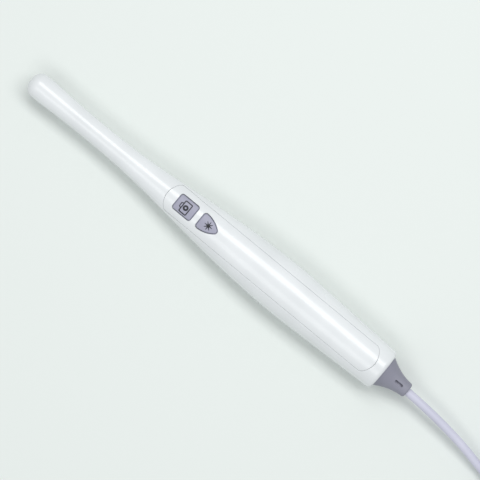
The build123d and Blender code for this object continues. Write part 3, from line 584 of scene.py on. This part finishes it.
def rounded_plan(
    centre: float, length: float, width: float, corner: float, count: int = 14,
) -> Plan:
    """A rounded rectangle on the middle line.

    Args:
        centre: its middle, as distance from the tip.
        length: its size along the wand.
        width: its size across.
        corner: its corners' radius.
        count: points on each corner.

    Returns:
        The outline.
    """
    x, y = length / 2 - corner, width / 2 - corner
    points = (
        [(centre + length / 2, 0.0)],
        straight((centre + length / 2, 0), (centre + length / 2, y), 0.3),
        arc((centre + x, y), corner, 0, 90, count),
        straight((centre + x, width / 2), (centre - x, width / 2), 0.3),
        arc((centre - x, y), corner, 90, 180, count),
        straight((centre - length / 2, y), (centre - length / 2, 0), 0.3),
        [(centre - length / 2, 0.0)],
    )
    return mirrored(np.concatenate([p for p in points if len(p)]))


def shield_plan() -> Plan:
    """The light key's outline: a flat front, and bowed sides that meet at the rear.

    The side's circle runs through the front corner, the shoulder and the point at the rear. A small
    arc of radius r inside it has its centre R - r away from the circle's centre.

    Returns:
        The outline.
    """
    front, half, apex = LIGHT_FRONT, LIGHT_HALF, LIGHT_LENGTH
    corner, tip = LIGHT_CORNER, LIGHT_TIP
    a = np.array((front, half))
    b = np.array((front + 0.48 * apex, 0.85 * half))
    c = np.array((front + apex, 0))
    system = 2 * np.array((b - a, c - a))
    centre = np.linalg.solve(system, np.array((b @ b - a @ a, c @ c - a @ a)))
    radius = float(np.linalg.norm(a - centre))
    tip_x = centre[0] + math.sqrt((radius - tip) ** 2 - centre[1] ** 2)
    tip_turn = math.degrees(math.atan2(-centre[1], tip_x - centre[0]))
    corner_y = centre[1] + math.sqrt((radius - corner) ** 2 - (front + corner - centre[0]) ** 2)
    corner_turn = math.degrees(math.atan2(corner_y - centre[1], front + corner - centre[0]))
    points = (
        arc((tip_x, 0), tip, 0, tip_turn, 14),
        arc(tuple(centre), radius, tip_turn, corner_turn, 40)[1:],
        arc((front + corner, corner_y), corner, corner_turn, 180, 16)[1:],
        straight((front, corner_y), (front, 0), 0.3),
        [(front, 0.0)],
    )
    return mirrored(np.concatenate(points))


PANEL = panel_plan()
CAPTURE = rounded_plan(CAPTURE_AT, CAPTURE_LENGTH, CAPTURE_WIDTH, CAPTURE_CORNER)
LIGHT = shield_plan()
WINDOW = rounded_plan(WINDOW_AT, WINDOW_LENGTH, WINDOW_WIDTH, WINDOW_CORNER)


def rolled_edge(plan: Plan, radius: float, depth: float, outward: bool, lift: float = 0.0) -> Spot:
    """The rounded edge and the wall along an outline on the wand's upper surface.

    From a centre that lies r inside the material and r under the surface, a point of the edge is
    centre + r (n cos a + t sin a), with n the surface's normal and t the way out of the material.
    The wall then goes straight down the normal.

    Args:
        plan: the outline where the wall stands.
        radius: the edge's radius.
        depth: how far the wall goes down.
        outward: whether the material is inside the outline, so that its edge faces outward.
        lift: how far the surface is raised.

    Returns:
        The grid of the edge and its wall.
    """
    sign = 1.0 if outward else -1.0
    inner = plan.grown(-sign * radius).points
    base = wand_surface(inner[:, 0], turn_at(inner[:, 0], inner[:, 1], lift), lift)
    level = np.concatenate((sign * plan.normals(), np.zeros((len(inner), 1))), 1)
    way = unit(level - np.sum(level * base.normals, 1, keepdims=True) * base.normals)
    centre = base.points - radius * base.normals
    angles = np.linspace(0, math.pi / 2, 6)[:, None, None]
    normals = base.normals * np.cos(angles) + way * np.sin(angles)
    points = centre + radius * normals
    wall = points[-1] - depth * base.normals
    return Spot(
        np.concatenate((points, points[-1:], wall[None])),
        np.concatenate((normals, normals[-1:], way[None])),
    )


def ring_area(outer: Plan, inner: Plan, centre: float, rows: int, lift: float = 0.0) -> Spot:
    """The surface between two outlines round one centre, such as a panel round its key's hole.

    Args:
        outer: the outer outline.
        inner: the inner outline.
        centre: a point on the middle line inside both, as distance from the tip.
        rows: rows of points between the outlines.
        lift: how far the surface is raised.

    Returns:
        The grid, closed in its columns.
    """
    away = outer.points - np.array((centre, 0.0))
    near = inner.points - np.array((centre, 0.0))
    angles = np.unique(np.round(np.concatenate((
        np.arctan2(away[:, 1], away[:, 0]), np.arctan2(near[:, 1], near[:, 0]),
    )), 5))
    share = np.linspace(0, 1, rows)[:, None]
    radius = (1 - share) * inner.radii(centre, angles) + share * outer.radii(centre, angles)
    distance, across = centre + radius * np.cos(angles), radius * np.sin(angles)
    return wand_surface(distance, turn_at(distance, across, lift), lift)


def disc_area(plan: Plan, centre: float, rows: int, lift: float) -> Spot:
    """The surface inside an outline, as rings round a centre.

    Args:
        plan: the outline.
        centre: a point on the middle line inside it, as distance from the tip.
        rows: how many rings.
        lift: how far the surface is raised.

    Returns:
        The grid, closed in its columns.
    """
    share = np.linspace(1, 0.0, rows)[:, None, None]
    place = np.array((centre, 0.0)) + share * (plan.points - np.array((centre, 0.0)))
    return wand_surface(place[..., 0], turn_at(place[..., 0], place[..., 1], lift), lift)


def end_steps(apex: float, way: int, reach: float, radius: float, count: int) -> np.ndarray:
    """Distances that gather towards the end of a round outline, so that its edge stays smooth.

    Each is apex + way * radius (1 - cos a), with a evenly spaced.

    Args:
        apex: the end of the outline.
        way: 1 where the outline lies behind the end, -1 where it lies before it.
        reach: how far the steps go.
        radius: the end's radius.
        count: how many steps.

    Returns:
        The distances.
    """
    last = math.acos(max(1 - reach / radius, -1))
    return apex + way * radius * (1 - np.cos(np.linspace(0, last, count)))


@dataclass
class Housing:
    """The white housing: two shell halves, the long panel and what frames the window."""

    edge: float = 0.12

    def stations(self, plan: Plan) -> np.ndarray:
        """Distances for the rows of a shell half, gathered at the ends of its opening.

        Args:
            plan: the outline of the opening's rim.

        Returns:
            The distances from the nose's end to the tail's arc.
        """
        low, high = plan.points[:, 0].min(), plan.points[:, 0].max()
        nose = NOSE_RADIUS * (1 - np.cos(np.linspace(0, math.pi / 2, 20)))
        tail = SHELL_LENGTH - TAIL_RADIUS + TAIL_RADIUS * np.sin(np.linspace(0, math.pi / 2, 12))
        steps = (
            nose, tail,
            np.arange(NOSE_RADIUS, SHELL_LENGTH - TAIL_RADIUS, ROW_STEP),
            end_steps(low, 1, END_REACH, END_ROUND, END_ROWS),
            end_steps(high, -1, END_REACH, END_ROUND, END_ROWS),
        )
        found = np.unique(np.round(np.concatenate(steps), 4))
        return found[np.concatenate(([True], np.diff(found) > 0.004))]

    def half(self, side: Side, plan: Plan) -> list[Spot]:
        """One shell half: its skin on both sides of the opening, the tip's cap and the rear face.

        Args:
            side: which half.
            plan: the opening's rim in plan.

        Returns:
            The grids of the skin.
        """
        distance = self.stations(plan)
        rim = turn_at(distance, plan.reach(distance))
        share = np.linspace(0, 1, 30)
        found = []
        for left in (True, False):
            turn = share * rim[:, None] if left else math.pi - share * rim[:, None]
            spot = wand_surface(distance[:, None], side.value * turn)
            found.append(self.flattened(spot, distance[:, None] + 0 * turn, side))
        turn = side.value * np.linspace(0, math.pi, 60)
        blunt = float(outer_half(np.array([0.0]))[0])
        rear = float(outer_half(np.array([SHELL_LENGTH]))[0])
        ends = ((0.0, blunt, 0.0, -1.0), (SHELL_LENGTH, rear, RELIEF_OPENING, 1.0))
        for x, high, low, way in ends:
            radius = np.linspace(high, low, 4)[:, None]
            points = np.stack((
                TIP_X + x + 0 * radius * turn,
                radius * np.cos(turn),
                AXIS_Z + HEIGHT_SHARE * radius * np.sin(turn),
            ), -1)
            found.append(Spot(points, np.broadcast_to((way, 0.0, 0.0), points.shape)))
        seam = np.concatenate((distance, distance[::-1]))
        angle = np.concatenate((0 * distance, 0 * distance + math.pi)) * side.value
        top = wand_surface(seam, angle)
        down = np.broadcast_to((0.0, 0.0, -float(side.value)), top.points.shape)
        inside = top.points - 0.5 * top.normals
        found.append(Spot(np.stack((top.points, inside)), np.stack((down, down))))
        return found

    def flattened(self, spot: Spot, distance: np.ndarray, side: Side) -> Spot:
        """Cuts the lower half off at the table and at the flat under the head.

        Args:
            spot: the grid of the round form.
            distance: each point's distance from the tip.
            side: which half the grid belongs to.

        Returns:
            The grid with its low points raised to the flats.
        """
        if side is Side.UPPER:
            return spot
        ramp = np.clip((distance - HEAD_FLAT_END) / HEAD_RAMP_LENGTH, 0, 1)
        floor = np.where(ramp < 1, WINDOW_Z - HEAD_RAMP_DROP * ramp, 0.0)
        under = spot.points[..., 2] < floor
        lean = np.where((ramp > 0) & (ramp < 1), HEAD_RAMP_DROP / HEAD_RAMP_LENGTH, 0.0)
        flat = unit(np.stack((-lean, 0 * lean, -1 + 0 * lean), -1))
        points = spot.points.copy()
        points[..., 2] = np.maximum(points[..., 2], floor)
        return Spot(points, np.where(under[..., None], flat, spot.normals))

    def make_upper(self) -> bpy.types.Object:
        """The upper half, open where the long panel lies.

        Returns:
            The object.
        """
        work = Patchwork("shell_top")
        hole = PANEL.grown(PANEL_GAP)
        for spot in self.half(Side.UPPER, hole.grown(self.edge)):
            work.add(spot)
        work.add(rolled_edge(hole, self.edge, 1.2, outward=False), closed=True)
        made = work.build("white_plastic", "handpiece")
        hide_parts("upper_shell")
        return made

    def make_lower(self) -> bpy.types.Object:
        """The lower half, with the window's seat.

        Returns:
            The object.
        """
        work = Patchwork("shell_bottom")
        hole, opening = WINDOW.grown(WINDOW_GAP), WINDOW.grown(-WINDOW_LEDGE)
        for spot in self.half(Side.LOWER, hole):
            work.add(spot)
        seat = WINDOW_Z + WINDOW_THICKNESS
        for low, z_low, high, z_high, normal in (
            (hole, WINDOW_Z, hole, seat, None),
            (hole, seat, opening, seat, (0, 0, -1)),
            (opening, seat, opening, seat + LEDGE_THICKNESS, None),
        ):
            work.add(self.step(low, z_low, high, z_high, normal), closed=True)
        made = work.build("white_plastic", "handpiece")
        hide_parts("lower_shell")
        return made

    def step(
        self, low: Plan, z_low: float, high: Plan, z_high: float,
        normal: tuple[float, float, float] | None,
    ) -> Spot:
        """A strip between two outlines at two heights, such as a wall or a ledge.

        Args:
            low: the first outline.
            z_low: its height.
            high: the second outline, with as many points.
            z_high: its height.
            normal: the strip's normal, or None for a wall that faces the inside of the outline.

        Returns:
            The grid.
        """
        rows = []
        for plan, z in ((low, z_low), (high, z_high)):
            x, y = plan.points.T
            rows.append(np.stack((TIP_X + x, y, z + 0 * x), -1))
        points = np.stack(rows)
        inward = np.concatenate((-low.normals(), np.zeros((len(low.points), 1))), 1)
        face = inward if normal is None else np.broadcast_to(np.array(normal, float), inward.shape)
        return Spot(points, np.stack((face, face)))

    def make_panel(self) -> bpy.types.Object:
        """The long panel with its two key holes.

        Returns:
            The object.
        """
        work = Patchwork("handle_panel")
        top = PANEL.grown(-self.edge)
        between, behind = BETWEEN_KEYS, BEHIND_KEYS
        first, second = CAPTURE.grown(self.edge), LIGHT.grown(self.edge)
        half = top.points[top.points[:, 1] >= 0]
        order = np.argsort(-half[:, 0])
        front = half[order][half[order][:, 0] < between]
        w = float(top.reach(np.array([between]))[0])
        rear_line = straight((between, 0), (between, w), 0.4)
        area = mirrored(np.concatenate(([(between, 0.0)], rear_line, [(between, w)], front)))
        work.add(ring_area(area, first, CAPTURE_AT, 10), closed=True)
        box = np.concatenate((
            [(behind, 0.0)], straight((behind, 0), (behind, w), 0.4), [(behind, w)],
            straight((behind, w), (between, w), 0.5), [(between, w)],
            straight((between, w), (between, 0), 0.4), [(between, 0.0)],
        ))
        work.add(ring_area(mirrored(box), second, LIGHT_RING_AT, 10), closed=True)
        apex = top.points[:, 0].max()
        last = end_steps(apex, -1, END_REACH, END_ROUND, END_ROWS)[::-1]
        rows = np.concatenate((np.arange(behind, apex - END_REACH, ROW_STEP), last))
        across = np.linspace(-1, 1, 40) * top.reach(rows)[:, None]
        work.add(wand_surface(rows[:, None], turn_at(rows[:, None] + 0 * across, across)))
        work.add(rolled_edge(PANEL, self.edge, PANEL_THICKNESS, outward=True), closed=True)
        for hole in (CAPTURE, LIGHT):
            work.add(rolled_edge(hole, self.edge, PANEL_THICKNESS, outward=False), closed=True)
        made = work.build("white_plastic", "handpiece")
        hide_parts("top_panel")
        return made

    def make(self) -> None:
        """Makes the whole housing."""
        self.make_upper()
        self.make_lower()
        self.make_panel()


@dataclass
class Key:
    """One key: its cap with a rounded rim, and the flange that shows at the bottom of its gap."""

    name: str
    node: str
    body: str
    plan: Plan
    centre: float
    rim: float = 0.35

    def make(self) -> bpy.types.Object:
        """Makes the key's cap and flange.

        Returns:
            The object.
        """
        work = Patchwork(self.name)
        cap = self.plan.grown(-KEY_GAP)
        work.add(disc_area(cap.grown(-self.rim), self.centre, 24, KEY_PROUD), closed=True)
        rim = rolled_edge(cap, self.rim, PANEL_THICKNESS, outward=True, lift=KEY_PROUD)
        work.add(rim, closed=True)
        flange = -PANEL_THICKNESS - 0.05
        work.add(ring_area(self.plan.grown(KEY_FLANGE), cap, self.centre, 3, flange), closed=True)
        made = work.build("key_plastic", self.body)
        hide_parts(self.node)
        return made


@dataclass
class Print:
    """A flat printed mark on a key: strips and spots a hair above the key's surface."""

    name: str
    body: str
    lift: float = KEY_PROUD + 0.012

    def lay(self, work: Patchwork, rows: np.ndarray) -> None:
        """Adds a strip that follows the key's surface.

        Args:
            work: where it goes.
            rows: at least two rows of points in plan, as distance from the tip and y.
        """
        distance, across = rows[..., 0], rows[..., 1]
        work.add(wand_surface(distance, turn_at(distance, across, self.lift), self.lift))

    def outline(self, work: Patchwork, plan: Plan, line: float) -> None:
        """Adds a closed line of even width, inside an outline.

        Args:
            work: where it goes.
            plan: the line's outer edge.
            line: its width.
        """
        rows = np.stack((plan.points, plan.grown(-line / 2).points, plan.grown(-line).points))
        self.lay(work, np.concatenate((rows, rows[:, :1]), 1))

    def make_camera(self, at: tuple[float, float]) -> bpy.types.Object:
        """A plain camera symbol: a rounded body with a bump, and a ring for its lens.

        Args:
            at: its middle, as distance from the tip and y.

        Returns:
            The object.
        """
        work = Patchwork(self.name)
        body = rounded_plan(0.45, 4.1, 5.8, 0.6)
        self.outline(work, Plan(body.points + np.array(at)), 0.5)
        hump = np.array(((-1.45, -1.5), (-2.55, -1.0), (-2.6, 1.0), (-1.45, 1.5)))
        inner = np.array(((-1.6, -1.0), (-2.15, -0.7), (-2.15, 0.7), (-1.6, 1.0)))
        share = np.linspace(0, 1, 9)[:, None]
        for a, b in ((0, 1), (1, 2), (2, 3)):
            outer_row = (1 - share) * hump[a] + share * hump[b]
            inner_row = (1 - share) * inner[a] + share * inner[b]
            self.lay(work, np.stack((outer_row, inner_row)) + np.array(at))
        ring = np.radians(np.linspace(0, 360, 49))
        circle = np.stack((np.cos(ring), np.sin(ring)), -1)
        radii = np.array((1.3, 0.85, 0.45))[:, None, None]
        rows = radii * circle + np.array((0.45, 0.0)) + np.array(at)
        self.lay(work, rows)
        return work.build("print_ink", self.body)

    def make_star(self, at: tuple[float, float], radius: float) -> bpy.types.Object:
        """A plain light symbol: eight rays round a small middle.

        Args:
            at: its middle, as distance from the tip and y.
            radius: the rays' reach.

        Returns:
            The object.
        """
        work = Patchwork(self.name)
        share = np.linspace(0.0, 1, 9)[:, None]
        for turn in range(8):
            angle = math.radians(45 * turn)
            way = np.array((math.cos(angle), math.sin(angle)))
            side = np.array((-math.sin(angle), math.cos(angle)))
            middle = radius * share * way
            wide = 0.36 * (1 - 0.7 * share) * side
            self.lay(work, np.stack((middle - wide, middle, middle + wide)) + np.array(at))
        ring = np.radians(np.linspace(0, 360, 33))
        circle = np.stack((np.cos(ring), np.sin(ring)), -1)
        self.lay(work, np.array((0.62, 0.3, 0.0))[:, None, None] * circle + np.array(at))
        return work.build("print_ink", self.body)


@dataclass
class Lead:
    """The lead: a slack run down to the table, a tied hank, and an end that goes into the plug."""

    fold_points: int = 9
    half_turns: int = 19

    def run(self) -> np.ndarray:
        """The route from inside the housing to the hank, as in part.py.

        Returns:
            Points in millimetres.
        """
        return np.array((
            (187.5, 0.0, AXIS_Z), (216.0, 0.0, AXIS_Z), (244.5, -2.4, 7.4), (263.0, -6.4, 4.1),
        ))

    def hank(self) -> np.ndarray:
        """The hank's turns, two to a layer, inward and outward by turns, round two folds.

        A fold of radius r has evenly spaced control points at r / (0.75 + 0.25 cos(step)), because
        the spline runs inside them. The lane and the layer change round the front fold.

        Returns:
            Points in millimetres.
        """
        lanes = HANK_INNER_TURN + 2 * LEAD_RADIUS * np.array((1, 0, 0, 1, 1, 0, 0, 1, 1, 0))
        layers = HANK_Z + LEAD_RADIUS * (1 + 2 * np.repeat(np.arange(5), 2))
        swing = np.linspace(-math.pi / 2, math.pi / 2, self.fold_points)
        spread = 0.75 + 0.25 * math.cos(math.pi / (self.fold_points - 1))
        share = np.linspace(0, 1, self.fold_points)
        found = [np.array(((HANK_FRONT, HANK_Y - HANK_OUTER_TURN, layers[0]),))]
        for half in range(self.half_turns):
            now = half // 2
            rear = half % 2 == 0
            then = now if rear else min(now + 1, 9)
            radius = (1 - share) * lanes[now] + share * lanes[then]
            radius[1:-1] /= spread
            height = (1 - share) * layers[now] + share * layers[then]
            angle = swing if rear else swing + math.pi
            centre = HANK_REAR if rear else HANK_FRONT
            fold = np.stack((
                centre + radius * np.cos(angle), HANK_Y + radius * np.sin(angle), height,
            ), -1)
            middle = (found[-1][-1] + fold[0]) / 2
            found += [middle[None], fold]
        return np.concatenate(found)

    def tail(self) -> np.ndarray:
        """The route from the hank's top into the plug, as in part.py.

        Returns:
            Points in millimetres.
        """
        top = HANK_Z + 9 * LEAD_RADIUS
        return np.array((
            (HANK_REAR - 10.0, HANK_Y + HANK_INNER_TURN, top), (PLUG_REAR + 10.0, PLUG_Y, PLUG_Z),
            (PLUG_REAR, PLUG_Y, PLUG_Z),
        ))

    def make(self) -> bpy.types.Object:
        """Makes the lead as one spline with a round section.

        Returns:
            The curve object.
        """
        points = np.concatenate((self.run(), self.hank(), self.tail()))
        points[:, 0] += TIP_X
        curve = bpy.data.curves.new("lead", "CURVE")
        curve.dimensions = "3D"
        curve.bevel_depth = LEAD_RADIUS * MM
        curve.bevel_resolution = 5
        curve.resolution_u = 5
        curve.use_fill_caps = True
        spline = curve.splines.new("NURBS")
        spline.points.add(len(points) - 1)
        places = np.column_stack((points * MM, np.ones(len(points))))
        spline.points.foreach_set("co", places.ravel())
        spline.order_u = 3
        spline.use_endpoint_u = True
        curve.materials.append(PALETTE.get("cable_jacket"))
        made = bpy.data.objects.new("lead", curve)
        bpy.context.scene.collection.objects.link(made)
        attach(made, "handpiece")
        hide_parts("cable_lead", "cable_coil", "cable_tail")
        return made


@dataclass
class Studio:
    """The camera, the floor and the lights."""

    middle: tuple[float, float] = (115.02, 4.09)
    span: float = 210.04
    height: float = 1400.0
    turn: float = 39.618

    def make_camera(self) -> None:
        """Puts the camera straight over the wand, turned as in the photograph.

        The lens is 36 mm times the height over the span that the picture shows.
        """
        optics = bpy.data.cameras.new("view")
        optics.lens = 36.0 * self.height / self.span
        optics.clip_start, optics.clip_end = 0.01, 10.0
        camera = bpy.data.objects.new("view", optics)
        bpy.context.scene.collection.objects.link(camera)
        angle = math.radians(self.turn)
        right = Vector((math.cos(angle), math.sin(angle), 0))
        up = Vector((-math.sin(angle), math.cos(angle), 0))
        turned = Matrix((right, up, Vector((0, 0, 1)))).transposed().to_4x4()
        place = Vector((TIP_X + self.middle[0], self.middle[1], AXIS_Z + self.height)) * MM
        camera.matrix_world = Matrix.Translation(place) @ turned
        bpy.context.scene.camera = camera

    def make_floor(self) -> None:
        """Makes the pale, dull floor, a little under the wand."""
        mesh = bpy.data.meshes.new("floor")
        reach, level = 6.0, -0.0002
        corners = ((-reach, -reach), (reach, -reach), (reach, reach), (-reach, reach))
        mesh.from_pydata([(x, y, level) for x, y in corners], [], [(0, 1, 2, 3)])
        floor = bpy.data.objects.new("floor", mesh)
        bpy.context.scene.collection.objects.link(floor)
        made = bpy.data.materials.new("floor")
        made.use_nodes = True
        shader = made.node_tree.nodes["Principled BSDF"]
        shader.inputs["Base Color"].default_value = srgb("e4e9e5")
        shader.inputs["Roughness"].default_value = 0.95
        shader.inputs["Specular IOR Level"].default_value = 0.0
        mesh.materials.append(made)

    def make_lights(self) -> None:
        """Hangs two soft panels over the wand and lets the surroundings fill in."""
        world = bpy.data.worlds.new("studio")
        world.use_nodes = True
        world.node_tree.nodes["Background"].inputs["Color"].default_value = srgb("eef1f4")
        world.node_tree.nodes["Background"].inputs["Strength"].default_value = 0.6
        bpy.context.scene.world = world
        for name, across, power in (("key_light", 0.35, 4.8), ("fill_light", -0.45, 1.9)):
            light = bpy.data.lights.new(name, "AREA")
            light.shape = "RECTANGLE"
            light.size, light.size_y = 1.0, 0.35
            light.energy = power
            lamp = bpy.data.objects.new(name, light)
            bpy.context.scene.collection.objects.link(lamp)
            place = Vector((0.0, across, 0.9))
            lamp.location = place
            lamp.rotation_mode = "QUATERNION"
            lamp.rotation_quaternion = place.to_track_quat("Z", "Y")
        LOG.info("studio lit, picture turned by %.1f degrees", self.turn)


CAD_FINISHES = {
    "capture_switch": "black_plastic", "capture_switch_stem": "pale_plastic",
    "light_switch": "black_plastic", "light_switch_stem": "pale_plastic",
    "lens_window": "window_glass", "led_board": "board", "leds": "led_resin",
    "front_lens": "lens_glass", "lens_barrel": "black_plastic", "rear_lens": "lens_glass",
    "lens_holder": "black_plastic", "image_sensor": "black_plastic", "sensor_board": "board",
    "head_flex": "flex_film", "main_board": "board", "board_screws": "steel",
    "processor_chip": "black_plastic", "memory_chip": "black_plastic", "crystal": "steel",
    "flex_connector": "pale_plastic", "cable_connector": "pale_plastic",
    "cable_wires": "cable_jacket",
    "strain_relief": "relief_rubber", "crimp_ring": "steel", "cable_ties": "black_plastic",
    "plug_body": "relief_rubber", "plug_shell": "plated_steel", "plug_insert": "black_plastic",
    "plug_contacts": "contact_gold",
}


def dress_nodes() -> None:
    """Gives each CAD node that stays in view its material."""
    for name, finish in CAD_FINISHES.items():
        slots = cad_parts[name].material_slots
        if not slots:
            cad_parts[name].data.materials.append(PALETTE.get(finish))
        for slot in slots:
            slot.material = PALETTE.get(finish)


def main() -> None:
    """Builds the whole scene."""
    logging.basicConfig(level=logging.INFO, format="%(message)s")
    studio = Studio()
    studio.make_camera()
    Lead().make()
    Housing().make()
    Key("key_capture", "capture_button", "capture_key", CAPTURE, CAPTURE_AT).make()
    Key("key_light", "light_button", "light_key", LIGHT, LIGHT_CAP_AT).make()
    Print("mark_capture", "capture_key").make_camera((87.5, -0.3))
    Print("mark_light", "light_key").make_star((100.5, 0.0), 2.05)
    dress_nodes()
    studio.make_floor()
    studio.make_lights()
    bpy.context.scene.view_settings.view_transform = "Standard"


if __name__ == "__main__":
    main()
